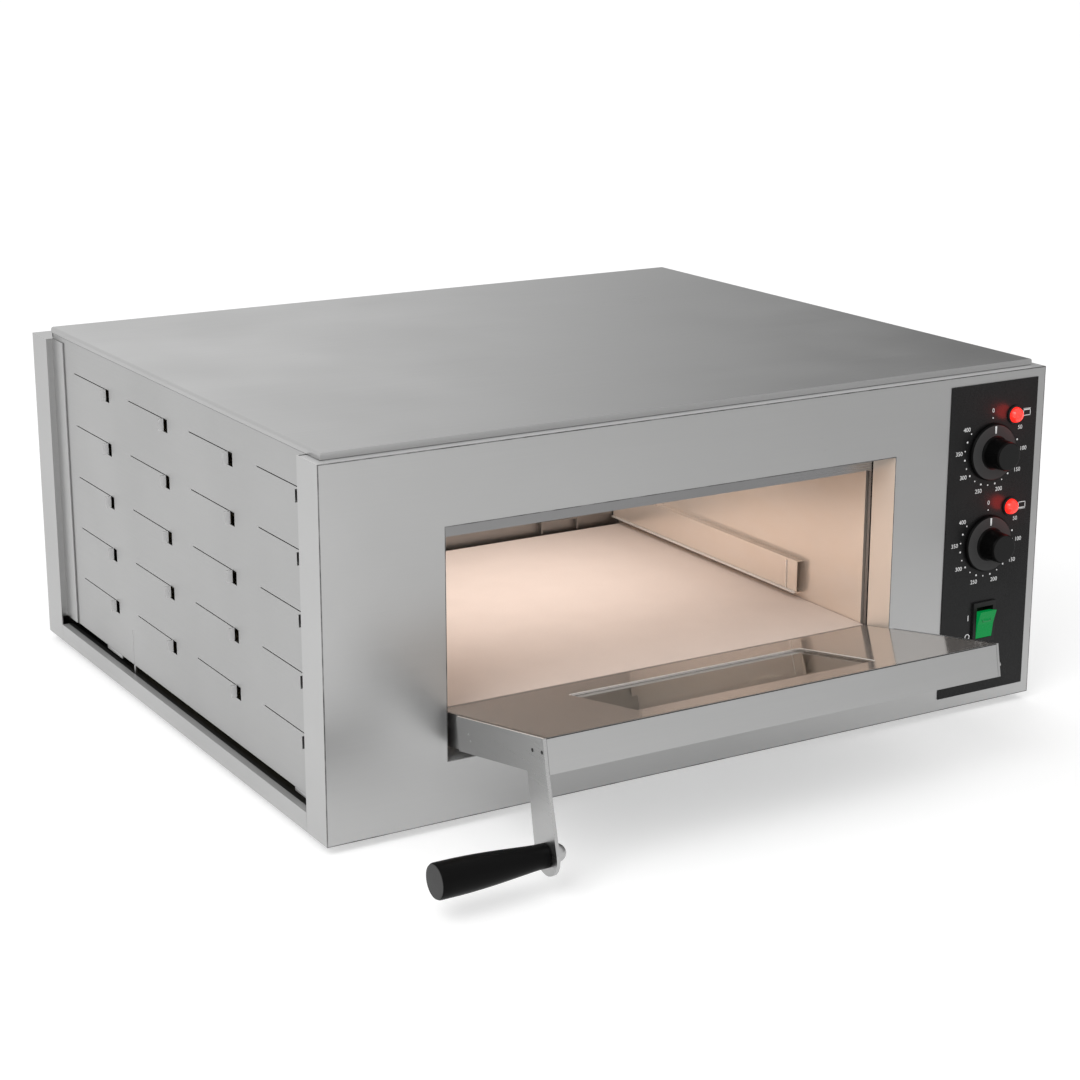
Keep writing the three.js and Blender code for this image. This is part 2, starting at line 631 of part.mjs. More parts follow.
// A pan folded from one sheet: the outer skin, four edges and both ends; the inner side is open.
function doorOuterShell() {
  const t = SHEET;
  const outside = prismX(DOOR_SECTION, DOOR.left, DOOR.right);
  const inside = prismX([[DOOR.inner + 5, DOOR.top - t], [DOOR.outer + t, DOOR.top - t],
    [DOOR.outer + t, -20 + 0.6 * t], [-11.5, -27 + 1.2 * t], [DOOR.inner - 1.5, -10 + 0.4 * t],
    [DOOR.inner + 5, -10 + 0.4 * t]], DOOR.left + t, DOOR.right - t);
  const pin = rodX(PIN_RADIUS + 0.3, DOOR.left - 5, DOOR.right + 5, 0, 0, 24);
  return cut(outside, inside, windowHole(0, DOOR.outer - 1, DOOR.outer + t + 1), pin);
}

// The inner skin, with a rim turned in around the window.
function doorInnerPanel() {
  const t = SHEET;
  const left = DOOR.left + t + GAP;
  const right = DOOR.right - t - GAP;
  const skin = block(left, right, DOOR.inner - t, DOOR.inner, -10 + 1.6 * t, DOOR.top - t - GAP);
  const rim = windowHole(t, DOOR.inner - WINDOW.rim, DOOR.inner - t / 2);
  return cut(join(skin, rim), windowHole(0, DOOR.inner - 10, DOOR.inner + 2));
}

// One pane, with its outer face at y0.
function doorGlass(y0) {
  return windowHole(10, y0, y0 + WINDOW.pane);
}

// The spacer that clamps both panes.
function doorWindowFrame() {
  const y0 = DOOR.outer + SHEET + 2 * GAP + WINDOW.pane;
  const y1 = DOOR.inner - WINDOW.rim - 2 * GAP - WINDOW.pane;
  return cut(windowHole(10, y0, y1), windowHole(4, y0 - 1, y1 + 1));
}

// The angle, seen from the grip's axis, at which a straight edge from (y, z) touches the lobe.
function lobeAngle(y, z, side) {
  const distance = Math.hypot(y - LEVER.gripY, z - LEVER.gripZ);
  const towards = Math.atan2(z - LEVER.gripZ, y - LEVER.gripY);
  return towards + side * Math.acos(LEVER.lobe / distance);
}

// The left-hand end plate and the lever that carries the grip, in one piece of flat bar.
function doorLeverPlate() {
  const x1 = DOOR.left - GAP;
  const x0 = x1 - LEVER.thickness;
  const heelY = LEVER.gripY + 6;
  const start = lobeAngle(DOOR.outer, DOOR.top, 1);
  const end = lobeAngle(heelY, LEVER.armBottom, -1) + 2 * Math.PI;
  const shape = new THREE.Shape();
  shape.moveTo(DOOR.inner, LEVER.bottom);
  shape.lineTo(DOOR.inner, DOOR.top);
  shape.lineTo(DOOR.outer, DOOR.top);
  shape.absarc(LEVER.gripY, LEVER.gripZ, LEVER.lobe, start, end, false);
  shape.lineTo(heelY, LEVER.armBottom);
  shape.lineTo(DOOR.outer, LEVER.armBottom);
  shape.lineTo(DOOR.outer, LEVER.bottom);
  const plate = prismX(shape, x0, x1);
  const bolt = rodX(BOLT.shank + 0.4, x0 - 1, x1 + 1, LEVER.gripY, LEVER.gripZ, 16);
  return cut(plate, bolt);
}

function doorRightPlate() {
  const x0 = DOOR.right + GAP;
  return block(x0, x0 + 3, DOOR.outer, DOOR.inner, LEVER.bottom, DOOR.top);
}

function handleGrip() {
  const x1 = DOOR.left - GAP - LEVER.thickness - GAP;
  const x0 = x1 - GRIP.length;
  const points = [[0, x0], [GRIP.bigRadius - 2, x0], [GRIP.bigRadius, x0 + 2],
    [GRIP.bigRadius, x0 + 22], [GRIP.bigRadius - 1.6, x0 + 60], [GRIP.smallRadius + 0.8, x1 - 22],
    [GRIP.smallRadius, x1 - 8], [GRIP.smallRadius, x1], [0, x1]];
  const turned = new THREE.LatheGeometry(points.map(([r, x]) => new THREE.Vector2(r, x)), 32);
  turned.rotateZ(-Math.PI / 2);
  turned.translate(0, LEVER.gripY, LEVER.gripZ);
  return cut(turned, rodX(BOLT.shank + 0.4, x1 - 40, x1 + 5, LEVER.gripY, LEVER.gripZ, 16));
}

// A domed bolt with a washer under its head, on the inner side of the lever.
function handleBolt() {
  const face = DOOR.left;
  const tip = face - LEVER.thickness - GAP - 36;
  const washer = rodX(BOLT.washer, face, face + 2, LEVER.gripY, LEVER.gripZ, 24);
  const head = rodX(BOLT.head, face + 1, face + BOLT.headLength, LEVER.gripY, LEVER.gripZ, 24);
  const shank = rodX(BOLT.shank, tip, face + 1, LEVER.gripY, LEVER.gripZ, 16);
  return join(washer, head, shank);
}

// A bracket behind the reveal with the pin that the door turns on.
function hingeBracket(side) {
  const reveal = side < 0 ? OPENING.left : OPENING.right;
  const near = reveal + side * (SHEET + GAP);
  const far = near + side * 3;
  const tip = side < 0 ? DOOR.left + 8 : DOOR.right - 8;
  const plate = block(Math.min(near, far), Math.max(near, far), 4, REVEAL_DEPTH, 76, 126);
  const flange = block(Math.min(near, near + side * 12), Math.max(near, near + side * 12),
    SHEET + GAP, SHEET + GAP + 3, 76, 126);
  const pin = rodX(PIN_RADIUS, Math.min(far, tip), Math.max(far, tip), DOOR_AXIS.y, DOOR_AXIS.z, 24);
  return join(plate, flange, pin);
}

// ---------------------------------------------------------------- put together
piece('base_tray', baseTray(), steel());
feet();
piece('front_fascia', frontFascia(), steel());
piece('rear_panel', rearPanel(), steel());
piece('top_cover', topCover(), steel());
const rightPanel = rightSidePanel();
piece('right_side_panel', rightPanel, steel());
piece('left_side_panel', mirroredX(rightPanel), steel());

piece('chamber_front_frame', chamberFrontFrame(), steel());
piece('chamber_left_wall', chamberLeftWall(), chamberSteel());
piece('chamber_right_wall', chamberRightWall(), chamberSteel());
piece('chamber_rear_wall', chamberRearWall(), chamberSteel());
piece('chamber_ceiling', chamberCeiling(), chamberSteel());
piece('chamber_floor_tray', chamberFloorTray(), chamberSteel());
piece('baking_stone', bakingStone(), stoneware());
piece('stone_support_left', stoneSupportLeft(), chamberSteel());
piece('stone_support_right', stoneSupportRight(), chamberSteel());
piece('wall_guard', wallGuard(), chamberSteel());

for (const [level, z] of [['upper', ELEMENT.upperZ], ['lower', ELEMENT.lowerZ]]) {
  for (const [place, y] of [['front', ELEMENT.frontY], ['rear', ELEMENT.rearY]]) {
    piece(`${level}_element_${place}`, heatingElement(y, z), material('sheath', 0x5b5650, 0.5, 1));
  }
}
piece('element_hanger_left', elementHanger(-240), chamberSteel());
piece('element_hanger_right', elementHanger(160), chamberSteel());
piece('upper_sensor', sensor(SENSOR.z[0], KNOB_Z[0]), brassy());
piece('lower_sensor', sensor(SENSOR.z[1], KNOB_Z[1]), brassy());

piece('top_insulation', block(-440, BAY_SHIELD_X - GAP, 56, 690, 345, 408), fibre());
piece('left_insulation', block(-430, CHAMBER.left - 16, 56, 690, 62, 344), fibre());
piece('right_insulation', block(CHAMBER.right + 3, 290, 56, 500, 100, 275), fibre());
piece('rear_insulation', block(CHAMBER.left - 14, 285, CHAMBER.rear + 4, 690, 62, 344), fibre());
piece('bottom_insulation', block(-440, BAY_SHIELD_X - GAP, 56, 690, 4, 60), fibre());
piece('heat_shield', heatShield(), chamberSteel());
piece('terminal_block', terminalBlock(), ceramicWhite());
piece('cable_gland', cableGland(), darkPlastic());

piece('control_overlay', controlOverlay(), darkPlastic());
['upper', 'lower'].forEach((level, i) => {
  piece(`${level}_knob`, knob(KNOB_Z[i]), darkPlastic());
  piece(`${level}_spindle`, spindle(KNOB_Z[i]), brassy());
  piece(`${level}_thermostat`, thermostat(KNOB_Z[i]), ceramicWhite());
  piece(`${level}_lamp_holder`, lampHolder(LAMP_Z[i]), darkPlastic());
  piece(`${level}_lamp_lens`, lampLens(LAMP_Z[i]), material('red_lens', 0xff2828, 0.2, 0));
});
piece('switch_housing', switchHousing(), darkPlastic());
piece('switch_rocker', switchRocker(), material('green_plastic', 0x00a850, 0.35, 0));

piece('hinge_bracket_left', hingeBracket(-1), steel());
piece('hinge_bracket_right', hingeBracket(1), steel());

door.position.set(0, DOOR_AXIS.y, DOOR_AXIS.z);
door.rotation.x = THREE.MathUtils.degToRad(DOOR_OPEN_DEG);
piece('door_outer_shell', doorOuterShell(), steel(), door);
piece('door_inner_panel', doorInnerPanel(), mirrorSteel(), door);
piece('door_outer_glass', doorGlass(DOOR.outer + SHEET + GAP), glassy(), door);
piece('door_inner_glass', doorGlass(DOOR.inner - WINDOW.rim - GAP - WINDOW.pane), glassy(), door);
piece('door_window_frame', doorWindowFrame(), chamberSteel(), door);
piece('door_lever_plate', doorLeverPlate(), steel(), door);
piece('door_right_plate', doorRightPlate(), steel(), door);
piece('handle_grip', handleGrip(), darkPlastic(), door);
piece('handle_bolt', handleBolt(), steel(), door);

// The model's origin is the middle of its footprint, on the surface under the feet.
oven.updateMatrixWorld(true);
const extent = new THREE.Box3().setFromObject(oven, true);
casing.position.set(-(extent.min.x + extent.max.x) / 2, -(extent.min.y + extent.max.y) / 2,
  -extent.min.z);
oven.updateMatrixWorld(true);

export default oven;
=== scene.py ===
"""Countertop pizza oven: materials, fine pieces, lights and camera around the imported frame."""
import json
import math

import bmesh
import bpy
from mathutils import Matrix, Vector


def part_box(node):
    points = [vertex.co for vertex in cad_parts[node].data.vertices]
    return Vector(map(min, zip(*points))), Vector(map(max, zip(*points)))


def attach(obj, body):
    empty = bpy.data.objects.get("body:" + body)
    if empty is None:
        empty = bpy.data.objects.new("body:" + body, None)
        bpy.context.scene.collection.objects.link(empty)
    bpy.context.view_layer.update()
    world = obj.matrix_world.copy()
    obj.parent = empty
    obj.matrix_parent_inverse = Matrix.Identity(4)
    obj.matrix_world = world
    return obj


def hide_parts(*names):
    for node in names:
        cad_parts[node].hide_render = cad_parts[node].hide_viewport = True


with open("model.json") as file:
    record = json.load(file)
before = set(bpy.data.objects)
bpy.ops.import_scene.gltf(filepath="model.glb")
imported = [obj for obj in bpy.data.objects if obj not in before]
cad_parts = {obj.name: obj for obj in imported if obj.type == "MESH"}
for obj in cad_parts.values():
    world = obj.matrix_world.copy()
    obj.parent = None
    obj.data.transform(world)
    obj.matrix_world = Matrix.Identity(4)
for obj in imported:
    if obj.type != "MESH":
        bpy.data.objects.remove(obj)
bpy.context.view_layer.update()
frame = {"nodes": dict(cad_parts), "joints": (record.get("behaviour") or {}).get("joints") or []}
NODES = frame["nodes"]

# ---------------------------------------------------------------- the frame's own places
MM = 0.001
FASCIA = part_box("front_fascia")
FRONT = FASCIA[0].y
BASE = FASCIA[0].z
FASCIA_TOP = FASCIA[1].z
LEFT, RIGHT = FASCIA[0].x, FASCIA[1].x
OPENING_LEFT, OPENING_RIGHT = -0.3415, 0.260
OPENING_BOTTOM, OPENING_TOP = BASE + 0.0695, BASE + 0.331
HINGE = next(j for j in frame["joints"] if j["name"] == "door_hinge")["pos_m"]
DOOR_TILT = math.radians(79.7)

# The shut door, measured from its pins: its inner skin's depth, and heights up it.
DOOR_INNER = 0.0169
PLATE_FOOT, DOOR_TOP = 0.046, 0.2278
WINDOW_LOW, WINDOW_HIGH = 0.0508, 0.1883
WINDOW_LAP = 0.010


def middle(node):
    low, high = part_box(node)
    return (low + high) / 2


# ---------------------------------------------------------------- node helpers
SQUARE_ON = 0.9


class Look:
    """A material with a Principled shader and short ways to add its textures."""

    def __init__(self, name, colour, roughness, metallic=0.0):
        self.material = bpy.data.materials.new(name)
        self.material.use_nodes = True
        self.tree = self.material.node_tree
        self.shader = self.tree.nodes["Principled BSDF"]
        self.set("Base Color", (*colour, 1))
        self.set("Roughness", roughness)
        self.set("Metallic", metallic)
        self.base = (*colour, 1)
        self.coords = self.node("ShaderNodeTexCoord").outputs["Object"]

    def node(self, kind, **settings):
        made = self.tree.nodes.new(kind)
        for key, value in settings.items():
            setattr(made, key, value)
        return made

    def link(self, source, target):
        self.tree.links.new(source, target)

    def set(self, socket, value):
        self.shader.inputs[socket].default_value = value

    def noise(self, scale, detail=3.0, rough=0.5):
        """Noise of a size for each axis, in features per metre."""
        mapping = self.node("ShaderNodeMapping")
        mapping.inputs["Scale"].default_value = scale if isinstance(scale, tuple) else (scale,) * 3
        self.link(self.coords, mapping.inputs["Vector"])
        made = self.node("ShaderNodeTexNoise")
        made.inputs["Scale"].default_value = 1.0
        made.inputs["Detail"].default_value = detail
        made.inputs["Roughness"].default_value = rough
        self.link(mapping.outputs["Vector"], made.inputs["Vector"])
        return made.outputs["Fac"]

    def remap(self, value, low, high, out_low, out_high):
        made = self.node("ShaderNodeMapRange")
        limits = {"From Min": low, "From Max": high, "To Min": out_low, "To Max": out_high}
        for key, number in limits.items():
            made.inputs[key].default_value = number
        self.link(value, made.inputs["Value"])
        return made.outputs["Result"]

    def math(self, operation, a, b):
        made = self.node("ShaderNodeMath", operation=operation)
        for socket, value in zip(made.inputs, (a, b)):
            if isinstance(value, (int, float)):
                socket.default_value = value
            else:
                self.link(value, socket)
        return made.outputs["Value"]

    def axis(self, name):
        made = self.node("ShaderNodeSeparateXYZ")
        self.link(self.coords, made.inputs["Vector"])
        return made.outputs[name]

    def facing(self, name, sign):
        """1 on the faces that look along an axis of the frame, 0 elsewhere."""
        made = self.node("ShaderNodeSeparateXYZ")
        self.link(self.node("ShaderNodeTexCoord").outputs["Normal"], made.inputs["Vector"])
        return self.math("GREATER_THAN", self.math("MULTIPLY", made.outputs[name], sign), SQUARE_ON)

    def matt(self, factor, colour, metal):
        """Paints light on the sheet: lighter and less mirror-like where factor is 1."""
        self.tint(factor, colour)
        socket = self.shader.inputs["Metallic"]
        metallic = self.remap(factor, 0.0, 1.0, 1.0, metal)
        if socket.is_linked:
            metallic = self.math("MULTIPLY", metallic, socket.links[0].from_socket)
        self.link(metallic, socket)

    def tint(self, factor, colour):
        """Mixes colour over what the base colour has so far."""
        made = self.node("ShaderNodeMix", data_type="RGBA")
        socket = self.shader.inputs["Base Color"]
        if socket.is_linked:
            self.link(socket.links[0].from_socket, made.inputs[6])
        else:
            made.inputs[6].default_value = self.base
        made.inputs[7].default_value = (*colour, 1)
        self.link(factor, made.inputs[0])
        self.link(made.outputs[2], socket)

    def roughness(self, value):
        self.link(value, self.shader.inputs["Roughness"])

    def bump(self, height, strength, distance):
        made = self.node("ShaderNodeBump")
        made.inputs["Strength"].default_value = strength
        made.inputs["Distance"].default_value = distance
        self.link(height, made.inputs["Height"])
        if self.shader.inputs["Normal"].is_linked:
            self.link(self.shader.inputs["Normal"].links[0].from_socket, made.inputs["Normal"])
        self.link(made.outputs["Normal"], self.shader.inputs["Normal"])


# ---------------------------------------------------------------- materials
def brushed_steel(name, grain, colour=(0.42, 0.42, 0.418), rough=0.34):
    """Satin sheet. grain holds features per metre: low along the brushing, high across it."""
    look = Look(name, colour, rough, 1.0)
    lines = look.noise(grain, 4, 0.6)
    clouds = look.noise(5.0, 2)
    spread = look.math("ADD", look.remap(lines, 0.3, 0.7, -0.04, 0.05),
                       look.remap(clouds, 0.3, 0.7, rough - 0.03, rough + 0.04))
    look.roughness(spread)
    look.tint(look.remap(clouds, 0.35, 0.75, 0.0, 0.35), tuple(c * 0.9 for c in colour))
    look.tint(look.remap(lines, 0.45, 0.8, 0.0, 0.3), tuple(min(1, c * 1.12) for c in colour))
    look.bump(lines, 0.06, 0.00008)
    return look


GRAIN_X = (6, 1500, 1500)
GRAIN_Y = (1500, 6, 1500)


def painted_bend_shade(look, width=0.0011):
    """Painted shade: darkens the fascia's folded edges and the rim of its opening."""
    x, y, z = (look.axis(a) for a in "XYZ")
    at_front = look.math("LESS_THAN", y, FRONT + width)
    rims = [look.math("GREATER_THAN", z, FASCIA_TOP - width), look.math("LESS_THAN", z, BASE + width),
            look.math("LESS_THAN", x, LEFT + width), look.math("GREATER_THAN", x, RIGHT - width)]
    in_width = look.math("MULTIPLY", look.math("GREATER_THAN", x, OPENING_LEFT - width),
                         look.math("LESS_THAN", x, OPENING_RIGHT + width))
    in_height = look.math("MULTIPLY", look.math("GREATER_THAN", z, OPENING_BOTTOM - width),
                          look.math("LESS_THAN", z, OPENING_TOP + width))
    rims.append(look.math("MULTIPLY", in_width, in_height))
    edges = rims[0]
    for rim in rims[1:]:
        edges = look.math("MAXIMUM", edges, rim)
    soft = look.remap(look.noise(60.0, 2), 0.3, 0.7, 0.55, 0.95)
    # Painted shade: a near-black line along the front face's folds and the opening's rim.
    look.tint(look.math("MULTIPLY", look.math("MULTIPLY", edges, at_front), soft), (0.07, 0.07, 0.07))


def mirror_steel(name):
    look = Look(name, (0.68, 0.63, 0.59), 0.12, 0.85)
    haze = look.noise((4, 300, 300), 3)
    look.roughness(look.remap(haze, 0.3, 0.7, 0.07, 0.16))
    look.bump(look.noise(9.0, 2), 0.05, 0.0006)
    return look


def chamber_steel(name):
    look = Look(name, (0.85, 0.765, 0.69), 0.22, 0.6)
    stains = look.noise((5.0, 5.0, 11.0), 4, 0.6)
    look.tint(look.remap(stains, 0.2, 0.85, 0.0, 0.7), (0.82, 0.66, 0.52))
    look.roughness(look.remap(look.noise((3, 3, 8), 1), 0.1, 0.9, 0.18, 0.32))
    look.bump(look.noise(4.0, 1), 0.05, 0.0005)
    return look


def refractory(name):
    look = Look(name, (0.66, 0.555, 0.49), 0.85)
    grit = look.noise(900.0, 3, 0.7)
    look.tint(look.remap(look.noise(16.0, 4), 0.35, 0.75, 0.0, 0.4), (0.60, 0.50, 0.44))
    look.tint(look.remap(grit, 0.62, 0.72, 0.0, 0.35), (0.46, 0.37, 0.31))
    look.tint(look.remap(grit, 0.36, 0.28, 0.0, 0.4), (0.80, 0.72, 0.66))
    look.roughness(look.remap(grit, 0.3, 0.7, 0.75, 0.95))
    look.bump(grit, 0.25, 0.0003)
    return look


def moulded(name, colour, rough, grain=2500.0, shine=0.5):
    look = Look(name, colour, rough)
    look.set("Specular IOR Level", shine)
    fine = look.noise(grain, 2)
    look.roughness(look.remap(fine, 0.3, 0.7, rough - 0.06, rough + 0.08))
    look.tint(look.remap(look.noise(40.0, 3), 0.4, 0.8, 0.0, 0.4), tuple(c * 1.6 for c in colour))
    look.bump(fine, 0.12, 0.00006)
    return look


def knob_faces(look):
    """The knob's front catches the light: a little on its face, more on the skirt behind it."""
    front = look.facing("Y", -1)
    look.tint(front, (0.016, 0.016, 0.016))
    skirt = look.math("GREATER_THAN", look.axis("Y"), FRONT - 0.012)
    look.tint(look.math("MULTIPLY", front, skirt), (0.042, 0.042, 0.042))


def overlay_film(name):
    look = moulded(name, (0.008, 0.008, 0.0082), 0.26, 1800.0, shine=0.16)
    look.set("Coat Weight", 0.04)
    look.set("Coat Roughness", 0.15)
    return look


def lit_plastic(name, colour, glow, strength, coat):
    rough = 0.25
    look = Look(name, colour, rough)
    look.set("Emission Color", (*glow, 1))
    look.set("Emission Strength", strength)
    look.set("Coat Weight", coat)
    look.set("Coat Roughness", 0.12)
    shade = look.noise(220.0, 2)
    look.tint(look.remap(shade, 0.35, 0.7, 0.0, 0.35), tuple(c * 0.75 for c in colour))
    look.roughness(look.remap(shade, 0.3, 0.7, rough - 0.05, rough + 0.08))
    return look


def clear_glass(name):
    look = Look(name, (0.50, 0.52, 0.52), 0.03)
    look.set("Transmission Weight", 1.0)
    look.set("IOR", 1.5)
    look.roughness(look.remap(look.noise(30.0, 3), 0.4, 0.8, 0.02, 0.07))
    return look


def heated_sheath(name):
    look = Look(name, (0.12, 0.11, 0.10), 0.5, 0.9)
    scale = look.noise(120.0, 4)
    look.tint(look.remap(scale, 0.4, 0.7, 0.0, 0.7), (0.24, 0.19, 0.15))
    look.roughness(look.remap(scale, 0.3, 0.7, 0.4, 0.7))
    look.bump(scale, 0.2, 0.0003)
    return look


def mineral_wool(name):
    look = Look(name, (0.42, 0.36, 0.22), 1.0)
    fibre = look.noise((220, 220, 900), 4, 0.7)
    look.tint(look.remap(fibre, 0.4, 0.7, 0.0, 0.8), (0.6, 0.54, 0.38))
    look.bump(fibre, 0.6, 0.004)
    return look


def plain(name, colour, rough, metallic=0.0):
    look = Look(name, colour, rough, metallic)
    cloud = look.noise(300.0, 3)
    look.tint(look.remap(cloud, 0.4, 0.75, 0.0, 0.4), tuple(c * 0.8 for c in colour))
    look.roughness(look.remap(cloud, 0.3, 0.7, max(0.02, rough - 0.06), rough + 0.08))
    look.bump(cloud, 0.05, 0.0001)
    return look


def painted_reveal_light(look):
    """Painted light: the opening's right-hand reveal, painted a lit warm beige."""
    x = look.axis("X")
    inside = look.math("MULTIPLY", look.math("GREATER_THAN", x, 0.0),
                       look.math("LESS_THAN", x, OPENING_RIGHT + 0.003))
    look.matt(look.math("MULTIPLY", look.facing("X", -1), inside), (0.86, 0.755, 0.66), 0.5)


def painted_tongue_light(look):
    """Painted light: the broken front faces of the louvre tongues, painted lighter and less mirror-like."""
    behind = look.math("GREATER_THAN", look.axis("Y"), FRONT + 0.1)
    look.matt(look.math("MULTIPLY", look.facing("Y", -1), behind), (0.52, 0.52, 0.52), 0.0)


def ledge_light_and_shade(look, rim=0.0088):
    """The ledge beside each rail: painted light along the rail, painted shade under the louvred sheet."""
    level = look.facing("Z", 1)
    out = look.math("ABSOLUTE", look.axis("X"), 0.0)
    # Painted light: the ledge's upper faces are painted lighter and less mirror-like.
    look.matt(level, (0.34, 0.34, 0.34), 0.3)
    # Painted shade: the ledge's inner part, under the louvred sheet, is painted near black.
    look.tint(look.math("MULTIPLY", level, look.math("LESS_THAN", out, RIGHT - rim)), (0.02, 0.02, 0.02))


FASCIA_STEEL = brushed_steel("fascia_steel", GRAIN_X, (0.44, 0.44, 0.438))
# Painted light: the fascia's upward faces are painted lighter and less mirror-like, as if lit from above.
FASCIA_STEEL.matt(FASCIA_STEEL.facing("Z", 1), (0.55, 0.55, 0.55), 0.55)
# Painted shade along the fascia's folded edges and the opening's rim.
painted_bend_shade(FASCIA_STEEL)
# Painted warm light on the opening's right-hand reveal.
painted_reveal_light(FASCIA_STEEL)
SHEET_X = brushed_steel("sheet_steel_x", GRAIN_X)
SHEET_Y = brushed_steel("sheet_steel_y", GRAIN_Y)
LOUVRED = brushed_steel("louvred_steel", GRAIN_Y, (0.37, 0.37, 0.368))
# Painted light on the louvre tongues' front faces.
painted_tongue_light(LOUVRED)
TRAY = brushed_steel("tray_steel", GRAIN_Y)
# Painted light and shade on the base tray's ledges.
ledge_light_and_shade(TRAY)
FRAME_STEEL = brushed_steel("frame_steel", GRAIN_X, (0.27, 0.27, 0.272), 0.3)
REAR_WALL = brushed_steel("rear_wall_steel", GRAIN_X, (0.36, 0.35, 0.34), 0.35)
LEVER_STEEL = brushed_steel("lever_steel", GRAIN_Y, rough=0.3)
BRIGHT = mirror_steel("bright_steel")
CHAMBER = chamber_steel("chamber_steel")
STONE = refractory("refractory")
OVERLAY = overlay_film("overlay_film")
BLACK = moulded("black_moulding", (0.008, 0.008, 0.008), 0.42, shine=0.22)
KNOB = moulded("knob_moulding", (0.0015, 0.0015, 0.0015), 0.4, shine=0.05)
knob_faces(KNOB)
GRIP = moulded("grip_moulding", (0.0015, 0.0015, 0.0015), 0.34, shine=0.07)
GRIP_CAP = moulded("grip_cap_moulding", (0.030, 0.030, 0.030), 0.5, shine=0.2)
RUBBER = moulded("foot_rubber", (0.02, 0.02, 0.02), 0.8, 900.0)
GLASS = clear_glass("door_glass")
SHEATH = heated_sheath("element_sheath")
WOOL = mineral_wool("mineral_wool")
BRASS = plain("drawn_brass", (0.6, 0.45, 0.2), 0.3, 1.0)
CERAMIC = plain("white_ceramic", (0.75, 0.72, 0.66), 0.55)
PRINT = plain("white_print", (0.72, 0.72, 0.72), 0.5)
DARK = plain("dark_recess", (0.01, 0.01, 0.01), 0.6)
RED = lit_plastic("red_lens", (0.8, 0.02, 0.01), (1.0, 0.022, 0.016), 1.05, coat=0.2)
GREEN = lit_plastic("green_rocker", (0.0, 0.08, 0.022), (0.0, 0.42, 0.08), 0.40, coat=0.0)
GREEN.set("Specular IOR Level", 0.12)
GREEN_PRINT = plain("green_print", (0.02, 0.20, 0.07), 0.5)
# Painted highlight: a light matt look for the bright edge lines on the door and the wall guard.
HIGHLIGHT_STRIP = plain("painted_highlight_strip", (0.80, 0.76, 0.72), 0.4, 0.3)

NODE_LOOKS = {
    FASCIA_STEEL: ["front_fascia"],
    SHEET_X: ["top_cover", "rear_panel", "door_outer_shell", "hinge_bracket_left",
              "hinge_bracket_right"],
    LOUVRED: ["left_side_panel", "right_side_panel"],
    TRAY: ["base_tray"],
    FRAME_STEEL: ["chamber_front_frame"],
    REAR_WALL: ["chamber_rear_wall"],
    LEVER_STEEL: ["door_lever_plate", "door_right_plate", "handle_bolt"],
    BRIGHT: ["door_inner_panel"],
    CHAMBER: ["chamber_left_wall", "chamber_right_wall", "chamber_ceiling",
              "chamber_floor_tray", "stone_support_left", "stone_support_right", "wall_guard",
              "element_hanger_left", "element_hanger_right", "heat_shield", "door_window_frame"],
    STONE: ["baking_stone"],
    OVERLAY: ["control_overlay"],
    BLACK: ["switch_housing", "upper_lamp_holder", "lower_lamp_holder", "cable_gland", "upper_knob",
            "lower_knob"],
    GRIP: ["handle_grip"],
    RUBBER: ["foot_front_left", "foot_front_right", "foot_rear_left", "foot_rear_right"],
    GLASS: ["door_outer_glass", "door_inner_glass"],
    SHEATH: ["upper_element_front", "upper_element_rear", "lower_element_front", "lower_element_rear"],
    WOOL: ["top_insulation", "left_insulation", "right_insulation", "rear_insulation", "bottom_insulation"],
    BRASS: ["upper_sensor", "lower_sensor", "upper_spindle", "lower_spindle"],
    CERAMIC: ["upper_thermostat", "lower_thermostat", "terminal_block"],
    RED: ["upper_lamp_lens", "lower_lamp_lens"],
    GREEN: ["switch_rocker"],
}
FOLDED = ["front_fascia", "top_cover", "rear_panel", "left_side_panel", "right_side_panel", "base_tray",
          "door_outer_shell", "door_lever_plate", "door_right_plate", "wall_guard", "chamber_rear_wall",
          "chamber_front_frame", "door_inner_panel", "switch_housing", "control_overlay"]


SHARP_ANGLE = math.radians(35)


def bevel(piece, width, segments=2):
    made = piece.modifiers.new("soft_edges", "BEVEL")
    made.width = width
    made.segments = segments
    made.limit_method = "ANGLE"
    made.angle_limit = SHARP_ANGLE
    made.harden_normals = True


def dress_cad_nodes():
    for look, names in NODE_LOOKS.items():
        for name in names:
            node = NODES[name]
            for slot in node.material_slots:
                slot.material = look.material
    for name in FOLDED:
        bevel(NODES[name], 0.3 * MM)
    bevel(NODES["baking_stone"], 1.6 * MM, 3)


# ---------------------------------------------------------------- mesh helpers
def add(name, mesh, look, body, replaces=None):
    """Puts a finished mesh in the scene as a piece that rides on a body."""
    piece = bpy.data.objects.new(name, mesh)
    bpy.context.scene.collection.objects.link(piece)
    mesh.materials.clear()
    mesh.materials.append(look.material)
    for polygon in mesh.polygons:
        polygon.use_smooth = True
    mesh.set_sharp_from_angle(angle=SHARP_ANGLE)
    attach(piece, body)
    if replaces:
        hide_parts(replaces)
    return piece


def mesh_from(name, work):
    mesh = bpy.data.meshes.new(name)
    bmesh.ops.recalc_face_normals(work, faces=work.faces)
    work.to_mesh(mesh)
    work.free()
    return mesh


